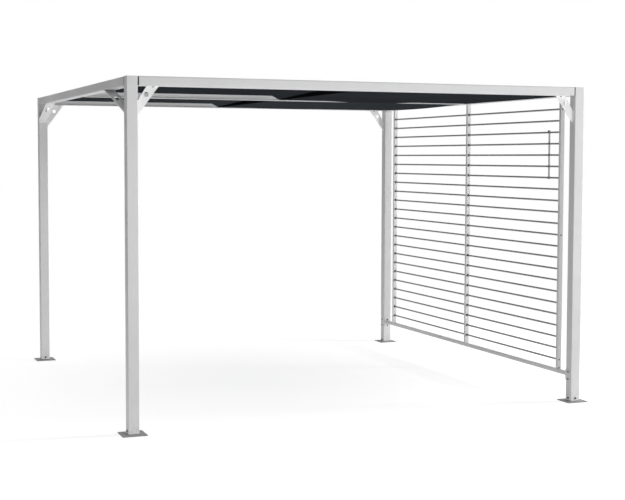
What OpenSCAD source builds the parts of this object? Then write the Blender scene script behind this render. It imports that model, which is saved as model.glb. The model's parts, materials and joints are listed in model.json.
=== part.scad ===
// Open garden gazebo: a square tube frame on bolted feet, a sliding fabric roof in two bays
// and a screen of thin horizontal bars on the right side.
// Millimetres, +Z up, front towards -Y, origin at the middle of the footprint on the ground.

/* [Overall] */
// Width over the outer faces of the posts, left to right
frame_w = 3000; // [2400:10:4000]
// Depth over the outer faces of the posts, front to back
frame_d = 3000; // [2400:10:4000]
// Height of the top of the frame above the ground
frame_h = 2043; // [1900:1:2600]
// Gap left between pieces that slide into each other
fit_gap = 0.3; // [0.1:0.1:0.6]

/* [Posts] */
// Side of the square posts
post_w = 65; // [60:1:80]
// Wall of the posts
post_wall = 2; // [1.2:0.1:3.5]
// Radius of the posts' outer corners
post_r = 4; // [3.6:0.1:8]
// Thickness of the cap that closes a post
cap_t = 3; // [2:0.5:6]
// Depth of the cap's plug inside the post
cap_plug_h = 22; // [12:1:40]
// Wall of the cap's plug
cap_plug_wall = 2.5; // [1.5:0.5:4]

/* [Feet] */
// Side of the square base plate
plate_w = 145; // [130:1:220]
// Thickness of the base plate
plate_t = 5; // [3:0.5:8]
// Radius of the base plate's corners
plate_r = 5; // [2:1:12]
// Diameter of an anchor hole
anchor_d = 11; // [8:0.5:16]
// Distance of an anchor hole's centre from the plate's edges
anchor_inset = 20; // [14:1:26]
// Height of the shoulder that the post stands on
shoulder_h = 4; // [2:0.5:8]
// Distance of the shoulder's sides inside the post's sides
shoulder_inset = 1; // [0.5:0.1:1.1]
// Height of the spigot above the shoulder
spigot_h = 60; // [40:5:100]
// Wall of the spigot
spigot_wall = 3; // [2:0.5:5]

/* [Beams] */
// Height of the beams
beam_h = 55; // [50:1:80]
// Width of the beams between the posts
beam_w = 65; // [44:1:65]
// Width of the middle beam
middle_w = 40; // [36:1:60]
// Wall of the beams
beam_wall = 1.8; // [1.2:0.1:2.5]
// Radius of the beams' outer edges
beam_r = 8; // [2.6:0.1:10]
// Gap between the end of a beam and the post, where the end plug shows
beam_gap = 8; // [3:0.5:12]
// Distance of the end plug's sides inside the beam's sides, in that gap
plug_inset = 2.5; // [1:0.5:4]
// Length of the end plug inside the beam
plug_len = 40; // [20:5:60]

/* [Roof] */
// Reach of the ledges that carry the canopies, out from the beam's side
ledge_reach = 10; // [8:1:16]
// Thickness of the ledges
ledge_t = 4; // [3:0.5:5]
// Height of the upper ledge's top above the bottom of the beams
upper_ledge_h = 33; // [28:1:42]
// Thickness of a canopy with its hems
canopy_t = 3; // [2:0.5:4]
// Gap between a canopy's hems and the beams
canopy_gap = 1.5; // [1:0.5:4]
// Distance of the lower canopies' leading bars to the left of the middle
lead_x = 50; // [20:5:120]
// Reach of the upper canopies to the right of the middle
lap_x = 20; // [5:5:100]
// Diameter of a leading bar
lead_d = 12; // [8:1:14]

/* [Corner braces] */
// Nearest reach of a brace along the beam from the post
brace_near = 58; // [50:1:80]
// Farthest reach of a brace along the beam from the post
brace_far = 129; // [120:1:200]
// Nearest reach of a brace down the post from the beam
brace_high = 94; // [70:1:110]
// Farthest reach of a brace down the post from the beam
brace_low = 174; // [150:1:220]
// Thickness of a brace's plate
brace_t = 3; // [2:0.5:4]
// Width of a brace's flanges
brace_flange = 30; // [20:1:34]
// Distance of the post's flange above the brace's lower point
brace_trim = 14; // [6:1:24]
// Diameter of the hole in a brace
brace_hole_d = 27; // [16:1:32]
// Distance of the hole in a brace from the post
brace_hole_x = 57; // [46:1:64]
// Distance of the hole in a brace below the beam
brace_hole_drop = 48; // [40:1:60]

/* [Side stays] */
// Reach of the front stay along the left beam from the post
front_stay_reach = 512; // [440:1:600]
// Drop of the front stay below the beam where it meets the post
front_stay_drop = 147; // [90:1:180]
// Reach of the back stay along the left beam from the post
back_stay_reach = 318; // [280:1:600]
// Drop of the back stay below the beam where it meets the post
back_stay_drop = 105; // [80:1:180]
// Width of a side stay
stay_w = 62; // [44:1:64]
// Thickness of a side stay
stay_t = 3; // [2:0.5:4]
// Length of the tabs at the ends of a side stay
stay_tab = 32; // [20:1:50]
// Width of the slot in a side stay
slot_w = 24; // [18:1:34]
// Length of the slot in a side stay
slot_len = 92; // [60:1:130]
// Distance of the slot's centre along the front stay from the post
front_slot_at = 328; // [150:1:360]
// Distance of the slot's centre along the back stay from the post
back_slot_at = 203; // [100:1:210]

/* [Screen] */
// Height of the bottom rail's centre above the ground
rail_z = 173; // [120:1:260]
// Side of the bottom rail
rail_w = 25; // [18:1:32]
// Wall of the bottom rail
rail_wall = 1.5; // [1:0.1:2.5]
// Radius of the bottom rail's inner edges
rail_in_r = 1; // [0.5:0.1:2]
// Width of the stiles and the mullion along the screen
stile_w = 20; // [16:1:28]
// Depth of the stiles and the mullion across the screen
stile_depth = 29; // [20:1:36]
// Distance of a stile's centre from the post beside it
stile_inset = 143; // [60:1:220]
// Number of bars, one above the other
bar_count = 23; // [12:1:28]
// Height of the lowest bar's centre above the rail
bar_first = 63; // [50:1:100]
// Drop of the highest bar's centre below the beam
bar_last = 78; // [60:1:110]
// Diameter of a bar
bar_d = 12; // [8:1:14]
// Distance of the tie strip's centre from the front stile's centre
tie_inset = 138; // [60:1:300]
// Width of the tie strip
tie_w = 20; // [12:1:30]
// Thickness of the tie strip
tie_t = 3; // [2:0.5:4]
// First bar that the tie strip holds, counted from the top
tie_from = 3; // [2:1:4]
// Last bar that the tie strip holds, counted from the top
tie_to = 7; // [5:1:9]
// Reach of the tie strip past those bars' centres
tie_over = 9; // [7:1:16]
// Thickness of the rail's end brackets
bracket_t = 2; // [1.5:0.5:5]
// Height of the rail's end brackets
bracket_h = 70; // [50:1:90]
// Width of the rail's end brackets on the posts
bracket_w = 54; // [40:1:58]
// Length of the bracket's socket inside the rail
socket_len = 30; // [15:1:60]
// Reach of the front bracket's tab along the side of its post
tab_len = 54; // [36:1:60]
// Radius of the tab's free corners
tab_r = 14; // [6:1:24]

/* [Hidden] */
$fn = 48;
// How far a cut runs past the faces that it goes through
cut_over = 1;
frame_grey = "#c6c8c8";
plate_grey = "#9b9d9e";
brace_grey = "#dcdedd";
fabric_grey = "#34393b";
plug_black = "#1d1e1f";

// Centre lines of the posts
post_x = (frame_w - post_w) / 2;
post_y = (frame_d - post_w) / 2;
post_in = post_w - 2 * post_wall;
post_in_r = post_r - post_wall;
post_foot_z = plate_t + shoulder_h;
post_top_z = frame_h - cap_t;
// Faces of the posts that look into the gazebo
in_x = frame_w / 2 - post_w;
in_y = frame_d / 2 - post_w;

// Beams
beam_low_z = frame_h - beam_h;
beam_mid_z = frame_h - beam_h / 2;
beam_in_r = beam_r - beam_wall;
long_beam_len = 2 * (in_x - beam_gap);
side_beam_len = 2 * (in_y - beam_gap);
// Faces of the beams that look into the gazebo
beam_in_x = post_x - beam_w / 2;
beam_in_y = post_y - beam_w / 2;

// Roof
lower_seat_z = beam_low_z + ledge_t + fit_gap;
upper_seat_z = beam_low_z + upper_ledge_h + fit_gap;
bay_y0 = middle_w / 2 + canopy_gap;
bay_y1 = beam_in_y - canopy_gap;
canopy_end_x = beam_in_x - canopy_gap;

// Screen
screen_x = post_x;
stile_y = in_y - stile_inset;
rail_top_z = rail_z + rail_w / 2;
rail_len = 2 * (in_y - bracket_t);
stile_len = beam_low_z - rail_top_z;
bar_pitch = (stile_len - bar_first - bar_last) / (bar_count - 1);
first_bar_z = rail_top_z + bar_first;
last_bar_z = beam_low_z - bar_last;
bar_len = stile_y - stile_w;
tie_x = screen_x - bar_d / 2 - fit_gap - tie_t / 2;

// Rectangle with rounded corners, centred
module rounded_rect(w, d, r) {
    square([w - 2 * r, d], center = true);
    square([w, d - 2 * r], center = true);
    for (sx = [-1, 1], sy = [-1, 1])
        translate([sx * (w / 2 - r), sy * (d / 2 - r)]) circle(r);
}

// Section of a rectangular tube, centred
module tube_section(w, d, r, wall) {
    difference() {
        rounded_rect(w, d, r);
        rounded_rect(w - 2 * wall, d - 2 * wall, r - wall);
    }
}

// Bar along X, centred, from a section drawn as Y and Z
module along_x(len) rotate([90, 0, 90]) linear_extrude(len, center = true) children();

// Bar along Y, centred, from a section drawn as X and Z
module along_y(len) rotate([90, 0, 0]) linear_extrude(len, center = true) children();

// Square tube post between its foot and its cap
module post(sx, sy) {
    color(frame_grey)
        translate([sx * post_x, sy * post_y, post_foot_z])
            linear_extrude(post_top_z - post_foot_z)
                tube_section(post_w, post_w, post_r, post_wall);
}

// Flat cap with a plug that sits inside the post
module cap(sx, sy) {
    plug_w = post_in - 2 * fit_gap;
    color(frame_grey)
        translate([sx * post_x, sy * post_y, post_top_z]) {
            linear_extrude(cap_t) rounded_rect(post_w, post_w, post_r);
            translate([0, 0, -cap_plug_h])
                linear_extrude(cap_plug_h)
                    tube_section(plug_w, plug_w, cap_plug_wall + post_in_r, cap_plug_wall);
        }
}

// Base plate with anchor holes, a shoulder under the post and a spigot inside it
module foot(sx, sy) {
    shoulder_w = post_w - 2 * shoulder_inset;
    spigot_w = post_in - 2 * fit_gap;
    anchor_at = plate_w / 2 - anchor_inset;
    color(plate_grey)
        translate([sx * post_x, sy * post_y, 0]) {
            difference() {
                linear_extrude(plate_t) rounded_rect(plate_w, plate_w, plate_r);
                for (hx = [-1, 1], hy = [-1, 1])
                    translate([hx * anchor_at, hy * anchor_at, -cut_over])
                        cylinder(h = plate_t + 2 * cut_over, d = anchor_d);
            }
            translate([0, 0, plate_t])
                linear_extrude(shoulder_h)
                    tube_section(shoulder_w, shoulder_w, spigot_wall + post_in_r, spigot_wall + post_wall);
            translate([0, 0, post_foot_z])
                linear_extrude(spigot_h)
                    tube_section(spigot_w, spigot_w, spigot_wall + post_in_r, spigot_wall);
        }
}

// Upper and lower ledge on one side of the section of a beam of that width
module ledges(side, w) {
    tip = w / 2 + ledge_reach;
    for (ledge = [[ledge_t, beam_r], [upper_ledge_h, beam_wall]]) {
        root = w / 2 - ledge[1];
        translate([side * (root + tip) / 2, ledge[0] - (ledge_t + beam_h) / 2])
            square([tip - root, ledge_t], center = true);
    }
}

// Beam section with ledges on the given sides
module beam_section(w, sides = []) {
    tube_section(w, beam_h, beam_r, beam_wall);
    for (side = sides) ledges(side, w);
}

// Front or back beam, with ledges towards the middle
module long_beam(sy) {
    color(frame_grey)
        translate([0, sy * post_y, beam_mid_z])
            along_x(long_beam_len) beam_section(beam_w, [-sy]);
}

// Left or right beam
module side_beam(sx) {
    color(frame_grey)
        translate([sx * post_x, 0, beam_mid_z])
            along_y(side_beam_len) beam_section(beam_w);
}

// Beam across the middle, with ledges on both sides, held between the side beams
module middle_beam() {
    color(frame_grey)
        translate([0, 0, beam_mid_z])
            along_x(2 * beam_in_x) beam_section(middle_w, [-1, 1]);
}

// Plug at one end of a beam, drawn with the post's face at x = 0 and the beam towards +X
module end_plug() {
    plug_w = beam_w - 2 * beam_wall - 2 * fit_gap;
    plug_h = beam_h - 2 * beam_wall - 2 * fit_gap;
    translate([beam_gap / 2, 0, 0])
        along_x(beam_gap)
            rounded_rect(beam_w - 2 * plug_inset, beam_h - 2 * plug_inset, beam_in_r);
    translate([beam_gap + plug_len / 2, 0, 0])
        along_x(plug_len) rounded_rect(plug_w, plug_h, beam_in_r);
}

// The two end plugs of a front or back beam
module long_beam_plugs(sy) {
    color(plug_black)
        for (turn = [0, 180])
            translate([0, sy * post_y, beam_mid_z])
                rotate(turn) translate([-in_x, 0, 0]) end_plug();
}

// The two end plugs of a left or right beam
module side_beam_plugs(sx) {
    color(plug_black)
        for (turn = [90, -90])
            translate([sx * post_x, 0, beam_mid_z])
                rotate(turn) translate([-in_y, 0, 0]) end_plug();
}

// Corner brace, drawn with the post's face at x = 0, the beam's underside at z = 0
module brace() {
    difference() {
        rotate([90, 0, 0])
            linear_extrude(brace_t, center = true)
                polygon([[brace_near, 0], [brace_far, 0], [0, -brace_low], [0, -brace_high]]);
        translate([brace_hole_x, 0, -brace_hole_drop])
            rotate([90, 0, 0]) cylinder(h = 2 * brace_t, d = brace_hole_d, center = true);
    }
    translate([brace_near, -brace_flange / 2, -brace_t])
        cube([brace_far - brace_near, brace_flange, brace_t]);
    translate([0, -brace_flange / 2, -brace_low + brace_trim])
        cube([brace_t, brace_flange, brace_low - brace_trim - brace_high]);
}

// Brace between a post and the front or back beam
module long_beam_brace(sx, sy) {
    color(brace_grey)
        translate([sx * in_x, sy * post_y, beam_low_z])
            rotate(sx < 0 ? 0 : 180) brace();
}

// Side view of a stay: tab on the post, sloping strip, tab under the beam
module stay_profile(reach, drop, slope) {
    under = stay_t / cos(slope);
    tab_end = reach - stay_t + stay_tab;
    polygon([
        [0, -drop - stay_tab],
        [stay_t, -drop - stay_tab],
        [stay_t, -drop - under + stay_t * tan(slope)],
        [(drop + under - stay_t) / tan(slope), -stay_t],
        [tab_end, -stay_t],
        [tab_end, 0],
        [reach, 0],
        [0, -drop],
    ]);
}

// Bent flat stay with a slot, drawn with the post's face at x = 0, the beam's underside at z = 0
module stay(reach, drop, slot_at) {
    slope = atan(drop / reach);
    slot_end = (slot_len - slot_w) / 2;
    difference() {
        translate([0, stay_w / 2, 0])
            rotate([90, 0, 0])
                linear_extrude(stay_w) stay_profile(reach, drop, slope);
        translate([0, 0, -drop])
            rotate([0, -slope, 0])
                translate([slot_at, 0, -stay_t / 2]) {
                    cube([2 * slot_end, slot_w, 4 * stay_t], center = true);
                    for (side = [-1, 1])
                        translate([side * slot_end, 0, 0])
                            cylinder(h = 4 * stay_t, d = slot_w, center = true);
                }
    }
}

// Stay between the front left post and the left beam
module left_beam_front_stay() {
    color(brace_grey)
        translate([-post_x, -in_y, beam_low_z])
            rotate(90) stay(front_stay_reach, front_stay_drop, front_slot_at);
}

// Stay between the back left post and the left beam
module left_beam_back_stay() {
    color(brace_grey)
        translate([-post_x, in_y, beam_low_z])
            rotate(-90) stay(back_stay_reach, back_stay_drop, back_slot_at);
}

// Canopy on the upper ledges, from the left beam to just past the middle
module upper_canopy(sy) {
    color(fabric_grey)
        translate([-canopy_end_x, sy < 0 ? -bay_y1 : bay_y0, upper_seat_z])
            cube([canopy_end_x + lap_x, bay_y1 - bay_y0, canopy_t]);
}

// Canopy on the lower ledges, from its leading bar to the right beam
module lower_canopy(sy) {
    start_x = lead_d / 2 + fit_gap - lead_x;
    color(fabric_grey)
        translate([start_x, sy < 0 ? -bay_y1 : bay_y0, lower_seat_z])
            cube([canopy_end_x - start_x, bay_y1 - bay_y0, canopy_t]);
}

// Bar along the leading edge of a lower canopy
module canopy_bar(sy) {
    color(fabric_grey)
        translate([-lead_x, sy * (bay_y0 + bay_y1) / 2, lower_seat_z + lead_d / 2])
            rotate([90, 0, 0]) cylinder(h = bay_y1 - bay_y0, d = lead_d, center = true);
}

// Square tube between the brackets on the right posts
module screen_bottom_rail() {
    color(frame_grey)
        translate([screen_x, 0, rail_z])
            along_y(rail_len) tube_section(rail_w, rail_w, rail_wall + rail_in_r, rail_wall);
}

// Upright of the screen, from the bottom rail to the right beam
module upright(y) {
    color(frame_grey)
        translate([screen_x - stile_depth / 2, y - stile_w / 2, rail_top_z])
            cube([stile_depth, stile_w, stile_len]);
}

// Row of bars between a stile and the mullion
module bars(sy) {
    color(plate_grey)
        for (i = [0 : bar_count - 1])
            translate([screen_x, sy * stile_y / 2, first_bar_z + i * bar_pitch])
                rotate([90, 0, 0]) cylinder(h = bar_len, d = bar_d, center = true);
}

// Short upright strip that ties a few bars together
module screen_tie() {
    high_z = last_bar_z - (tie_from - 1) * bar_pitch + tie_over;
    low_z = last_bar_z - (tie_to - 1) * bar_pitch - tie_over;
    color(frame_grey)
        translate([tie_x - tie_t / 2, -stile_y + tie_inset - tie_w / 2, low_z])
            cube([tie_t, tie_w, high_z - low_z]);
}

// Plate with a socket for the rail, drawn with the post's face at y = 0 and the rail towards +Y
module bracket_plate() {
    socket_w = rail_w - 2 * rail_wall - 2 * fit_gap;
    translate([-bracket_w / 2, 0, -bracket_h / 2])
        cube([bracket_w, bracket_t, bracket_h]);
    translate([-socket_w / 2, bracket_t, -socket_w / 2])
        cube([socket_w, socket_len, socket_w]);
}

// Outline of a tab from x = 0 to its length, with the free corners rounded
module tab_outline(len, h, r) {
    translate([0, -h / 2]) square([len - r, h]);
    translate([0, r - h / 2]) square([len, h - 2 * r]);
    for (side = [-1, 1])
        translate([len - r, side * (h / 2 - r)]) circle(r);
}

// Bracket between the bottom rail and the back right post
module rail_back_bracket() {
    color(frame_grey)
        translate([screen_x, in_y, rail_z])
            rotate(180) bracket_plate();
}

// Bracket between the bottom rail and the front right post, with a tab round the post's left edge
module rail_front_bracket() {
    wrap_x = in_x - bracket_t;
    color(frame_grey) {
        translate([screen_x, -in_y, rail_z]) bracket_plate();
        translate([wrap_x, -in_y, rail_z - bracket_h / 2])
            cube([screen_x - wrap_x, bracket_t, bracket_h]);
        translate([wrap_x, bracket_t - in_y, rail_z])
            rotate([90, 0, -90])
                mirror([0, 0, 1])
                    linear_extrude(bracket_t)
                        tab_outline(tab_len + bracket_t, bracket_h, tab_r);
    }
}

post(-1, -1);  // front_left_post
post(1, -1);  // front_right_post
post(-1, 1);  // back_left_post
post(1, 1);  // back_right_post
cap(-1, -1);  // front_left_cap
cap(1, -1);  // front_right_cap
cap(-1, 1);  // back_left_cap
cap(1, 1);  // back_right_cap
foot(-1, -1);  // front_left_foot
foot(1, -1);  // front_right_foot
foot(-1, 1);  // back_left_foot
foot(1, 1);  // back_right_foot
long_beam(-1);  // front_beam
long_beam(1);  // back_beam
side_beam(-1);  // left_beam
side_beam(1);  // right_beam
middle_beam();
long_beam_plugs(-1);  // front_beam_plugs
long_beam_plugs(1);  // back_beam_plugs
side_beam_plugs(-1);  // left_beam_plugs
side_beam_plugs(1);  // right_beam_plugs
long_beam_brace(-1, -1);  // front_beam_left_brace
long_beam_brace(1, -1);  // front_beam_right_brace
long_beam_brace(-1, 1);  // back_beam_left_brace
long_beam_brace(1, 1);  // back_beam_right_brace
left_beam_front_stay();
left_beam_back_stay();
upper_canopy(-1);  // front_left_canopy
lower_canopy(-1);  // front_right_canopy
upper_canopy(1);  // back_left_canopy
lower_canopy(1);  // back_right_canopy
canopy_bar(-1);  // front_canopy_bar
canopy_bar(1);  // back_canopy_bar
screen_bottom_rail();
upright(-stile_y);  // screen_front_stile
upright(stile_y);  // screen_back_stile
upright(0);  // screen_mullion
bars(-1);  // screen_front_bars
bars(1);  // screen_back_bars
screen_tie();
rail_front_bracket();
rail_back_bracket();
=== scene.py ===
import json
import math

import bpy
import numpy as np
from mathutils import Matrix, Vector


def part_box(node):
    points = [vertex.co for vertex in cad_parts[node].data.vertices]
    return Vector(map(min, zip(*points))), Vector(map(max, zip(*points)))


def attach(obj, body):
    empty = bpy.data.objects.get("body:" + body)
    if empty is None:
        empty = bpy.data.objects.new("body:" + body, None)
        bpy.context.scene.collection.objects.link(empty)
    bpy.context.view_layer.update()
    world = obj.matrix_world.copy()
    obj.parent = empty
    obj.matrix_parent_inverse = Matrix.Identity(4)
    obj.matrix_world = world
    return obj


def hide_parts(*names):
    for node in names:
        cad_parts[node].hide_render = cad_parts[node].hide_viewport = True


bl_info = {
    "name": "Garden gazebo",
    "version": (1, 0, 0),
    "blender": (4, 5, 0),
    "location": "3D View > Sidebar > Gazebo",
    "description": "Dresses the gazebo's frame with cloth, fasteners and finishes",
    "category": "Object",
}

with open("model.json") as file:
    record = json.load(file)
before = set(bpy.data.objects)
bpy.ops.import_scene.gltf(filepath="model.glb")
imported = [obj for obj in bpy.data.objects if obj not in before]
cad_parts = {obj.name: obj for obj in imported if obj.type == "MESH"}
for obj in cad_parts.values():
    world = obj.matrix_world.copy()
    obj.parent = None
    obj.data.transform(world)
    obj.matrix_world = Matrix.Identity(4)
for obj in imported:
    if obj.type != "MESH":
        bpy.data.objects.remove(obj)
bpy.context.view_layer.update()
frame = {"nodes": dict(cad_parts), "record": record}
NODES = frame["nodes"]
IMAGE_W = 625
IMAGE_H = 500
MM = 0.001

# Sizes of the frame's pieces that the fasteners sit on
BAR_COUNT = 23
BRACE_PLATE = 3 * MM
BRACKET_PLATE = 2 * MM

# Places of the screws
FOOT_SCREW_Z = 23 * MM
BRACE_SCREW_REACH = 94 * MM
BRACE_SCREW_DROP = 126 * MM
BRACE_SCREW_HALF = 9 * MM
STAY_SCREW_INSET = 14 * MM
STAY_SCREW_HALF = 15 * MM
BRACKET_SCREW_HALF = 24 * MM
BRACKET_SCREW_DROP = 3 * MM
TAB_SCREW_INSET = 30 * MM
STILE_SCREW_RISE = 9 * MM

# Thickness of the cloth to each side of its middle, and its middle's height over the ledges
CLOTH_HALF = 0.6 * MM
HEM_HALF = 1.3 * MM
CLOTH_LIFT = 1.4 * MM

# Colours of wear
DUST = (0.36, 0.34, 0.31)
RUBBED_COAT = (0.6, 0.6, 0.6)
RUBBED_STEEL = (0.35, 0.35, 0.35)


# Settings

def colour_setting(name, description, default):
    return bpy.props.FloatVectorProperty(
        name=name, description=description, subtype="COLOR", size=3, min=0, max=1, default=default)


def number_setting(name, description, default, unit="NONE"):
    return bpy.props.FloatProperty(name=name, description=description, unit=unit, default=default)


class GazeboFinish(bpy.types.PropertyGroup):
    """Colours and gloss of the coated metal, plastic and screws."""
    coat: colour_setting(
        "Frame coat", "Powder coat on the posts and beams", (0.66, 0.66, 0.665))
    # Paler coat than the frame's, made paler still as painted light on the stays, which lie in shade under
    # the left beam
    brace: colour_setting(
        "Brace coat with painted light", "Powder coat on the corner braces and stays", (0.84, 0.84, 0.842))
    foot: colour_setting(
        "Foot coat", "Powder coat on the base plates", (0.38, 0.385, 0.39))
    screen: colour_setting(
        "Screen coat", "Powder coat on the side screen", (0.66, 0.66, 0.663))
    bars: colour_setting(
        "Bar coat", "Darker powder coat on the screen's bars", (0.2904, 0.2904, 0.2917))
    plug: colour_setting(
        "Plug plastic", "Moulded plastic of the plugs and bushes", (0.012, 0.0125, 0.013))
    screw: colour_setting(
        "Screw steel", "Blackened steel of the screws", (0.02, 0.02, 0.021))
    clip: colour_setting(
        "Clip plastic", "Moulded plastic of the clips on the tie strip", (0.16, 0.162, 0.165))
    gloss: bpy.props.FloatProperty(
        name="Coat roughness", description="Roughness of the powder coat",
        subtype="FACTOR", min=0, max=1, default=0.42)


class GazeboCloth(bpy.types.PropertyGroup):
    """Colours and shape of the canopies."""
    cloth: colour_setting(
        "Cloth", "Woven cloth of the canopies", (0.0285, 0.032, 0.036))
    # Painted light: the back bay's cloth is the same cloth made lighter, for the brighter light that falls
    # under the back bay
    back_painted_light: number_setting(
        "Back painted light", "Tone of the back bay's cloth against the front bay's", 1.45)
    # Near-black sleeve colour: painted shade, a dark sheet where the fold at the leading bar lies in shade
    sleeve: colour_setting(
        "Sleeve", "Sleeve round the leading bars", (0.006, 0.006, 0.0065))
    sag: number_setting(
        "Sag", "Deepest sag of the right canopies", 0.034, "LENGTH")
    hem: number_setting(
        "Hem width", "Width of the sewn hems", 0.028, "LENGTH")
    sleeve_top: number_setting(
        "Sleeve height", "Height of the sleeve at a leading bar", 0.031, "LENGTH")


class GazeboFasteners(bpy.types.PropertyGroup):
    """Sizes of the screws and bushes."""
    screw_d: number_setting(
        "Screw head", "Diameter of a screw's head on the feet and braces", 0.0135, "LENGTH")
    small_screw_d: number_setting(
        "Small screw head", "Diameter of a screw's head on the stays and stiles", 0.0095, "LENGTH")
    bracket_screw_d: number_setting(
        "Bracket screw head", "Diameter of a screw's head on the rail brackets", 0.011875, "LENGTH")
    bush_d: number_setting(
        "Bush", "Outer diameter of the bush round a bar's end", 0.017, "LENGTH")
    bush_len: number_setting(
        "Bush length", "Length of the bush along its bar", 0.01, "LENGTH")


class GazeboStage(bpy.types.PropertyGroup):
    """Camera and studio light."""
    eye: bpy.props.FloatVectorProperty(
        name="Camera", description="Place of the camera",
        subtype="TRANSLATION", unit="LENGTH", size=3, default=(-3.1744, -8.6423, 1.5832))
    yaw: number_setting(
        "Yaw", "Turn of the camera to the right of straight ahead", 0.3708, "ROTATION")
    pitch: number_setting(
        "Pitch", "Tilt of the camera below the horizon", 0.06298, "ROTATION")
    roll: number_setting(
        "Roll", "Roll of the camera", 0.00285, "ROTATION")
    focal: number_setting(
        "Focal length", "Focal length in image widths", 1289.47 / IMAGE_W)
    centre_x: number_setting(
        "Axis across", "Place of the lens axis across the image, in image widths", 309.36 / IMAGE_W)
    centre_y: number_setting(
        "Axis down", "Place of the lens axis down the image, in image widths", 239.43 / IMAGE_W)
    sky: number_setting(
        "Sky", "Level of the soft light from all round", 0.02)
    floor: number_setting(
        "Floor", "Level of the floor near the part, as the camera sees it without lamps", 0.715)
    front: number_setting(
        "Front light", "Power of the low soft box in front, which other low ones follow", 215.0, "POWER")
    right: number_setting(
        "Right light", "Power of the soft box at the right", 460.0, "POWER")
    top: number_setting(
        "Top light", "Power of the wide soft light overhead", 380.0, "POWER")
    bounce: number_setting(
        "Bounce", "Power of the white cards that light the undersides", 48.0, "POWER")


# Helpers for meshes

def new_piece(name, verts, faces, material, smooth=True):
    """Makes a mesh object that rides on the frame."""
    mesh = bpy.data.meshes.new(name)
    mesh.from_pydata([tuple(v) for v in verts], [], faces)
    mesh.validate()
    mesh.polygons.foreach_set("use_smooth", [smooth] * len(mesh.polygons))
    mesh.materials.append(material)
    mesh.update()
    piece = bpy.data.objects.new(name, mesh)
    bpy.context.scene.collection.objects.link(piece)
    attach(piece, "root")
    return piece


class Parts:
    """Collects the points and faces of several like shapes into one mesh."""

    def __init__(self):
        self.verts = []
        self.faces = []

    def add(self, verts, faces, matrix=None):
        start = len(self.verts)
        if matrix is not None:
            verts = [matrix @ Vector(v) for v in verts]
        self.verts.extend(tuple(v) for v in verts)
        self.faces.extend([tuple(start + i for i in f) for f in faces])


def lathe(profile, steps, closed=False):
    """Rings round +Z through the (radius, height) points of a profile."""
    verts = []
    faces = []
    for radius, height in profile:
        for i in range(steps):
            turn = 2 * math.pi * i / steps
            verts.append((radius * math.cos(turn), radius * math.sin(turn), height))
    rows = len(profile)
    last = rows if closed else rows - 1
    for row in range(last):
        nxt = (row + 1) % rows
        for i in range(steps):
            j = (i + 1) % steps
            faces.append((row * steps + i, row * steps + j, nxt * steps + j, nxt * steps + i))
    if not closed:
        faces.append(tuple(range(steps))[::-1])
        faces.append(tuple((rows - 1) * steps + i for i in range(steps)))
    return verts, faces


def screw_head(diameter):
    """Domed screw head with a hexagon socket, standing on z = 0."""
    steps = 24
    r = diameter / 2
    h = 0.55 * r
    dome = [(r, 0), (r, 0.3 * h), (0.93 * r, 0.66 * h), (0.76 * r, 0.9 * h), (0.56 * r, h)]
    verts, faces = lathe(dome, steps)
    faces.pop()
    top = 4 * steps
    flats = 6
    for depth in (h, 0.35 * h):
        for i in range(steps):
            turn = 2 * math.pi * i / steps
            part = (turn % (2 * math.pi / flats)) - math.pi / flats
            reach = 0.42 * r * math.cos(math.pi / flats) / math.cos(part)
            verts.append((reach * math.cos(turn), reach * math.sin(turn), depth))
    for row in range(2):
        low = top + row * steps
        for i in range(steps):
            j = (i + 1) % steps
            faces.append((low + i, low + j, low + steps + j, low + steps + i))
    faces.append(tuple(top + 2 * steps + i for i in range(steps)))
    return verts, faces


def facing(direction, place, spin=0.0):
    """Matrix that turns +Z to a direction and moves the origin to a place."""
    turn = Vector(direction).to_track_quat("Z", "Y").to_matrix().to_4x4()
    return Matrix.Translation(Vector(place)) @ turn @ Matrix.Rotation(spin, 4, "Z")


def soft_block(size, edge, steps=4):
    """Block with rounded corners in plan and a softened top, standing on z = 0."""
    w, d, h = size
    corners = []
    for cx, cy, first in ((1, 1, 0), (-1, 1, 1), (-1, -1, 2), (1, -1, 3)):
        for k in range(steps + 1):
            turn = (first + k / steps) * math.pi / 2
            corners.append((cx * (w / 2 - edge), cy * (d / 2 - edge), math.cos(turn), math.sin(turn)))
    verts = []
    rings = [(edge, 0.0), (edge, h - edge)]
    for k in range(1, steps + 1):
        turn = k / steps * math.pi / 2
        rings.append((edge * math.cos(turn) + 0.05 * edge, h - edge + edge * math.sin(turn)))
    for reach, z in rings:
        verts.extend((x + reach * c, y + reach * s, z) for x, y, c, s in corners)
    n = len(corners)
    faces = []
    for row in range(len(rings) - 1):
        for i in range(n):
            j = (i + 1) % n
            faces.append((row * n + i, row * n + j, (row + 1) * n + j, (row + 1) * n + i))
    faces.append(tuple(range(n))[::-1])
    faces.append(tuple((len(rings) - 1) * n + i for i in range(n)))
    return verts, faces


# Helpers for materials

def link_math(tree, kind, first, second=None, clamp=False):
    """Adds a Math node and returns its output."""
    node = tree.nodes.new("ShaderNodeMath")
    node.operation = kind
    node.use_clamp = clamp
    for socket, value in zip(node.inputs, (first, second)):
        if value is None:
            continue
        if isinstance(value, (int, float)):
            socket.default_value = value
        else:
            tree.links.new(value, socket)
    return node.outputs[0]


def link_times(tree, first, second):
    return link_math(tree, "MULTIPLY", first, second)


def link_add(tree, first, second):
    return link_math(tree, "ADD", first, second)


def link_range(tree, value, low, high, out_low=0.0, out_high=1.0, smooth=True):
    """Adds a Map Range node and returns its output."""
    node = tree.nodes.new("ShaderNodeMapRange")
    node.interpolation_type = "SMOOTHSTEP" if smooth else "LINEAR"
    node.inputs["From Min"].default_value = low
    node.inputs["From Max"].default_value = high
    node.inputs["To Min"].default_value = out_low
    node.inputs["To Max"].default_value = out_high
    tree.links.new(value, node.inputs["Value"])
    return node.outputs["Result"]


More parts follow.
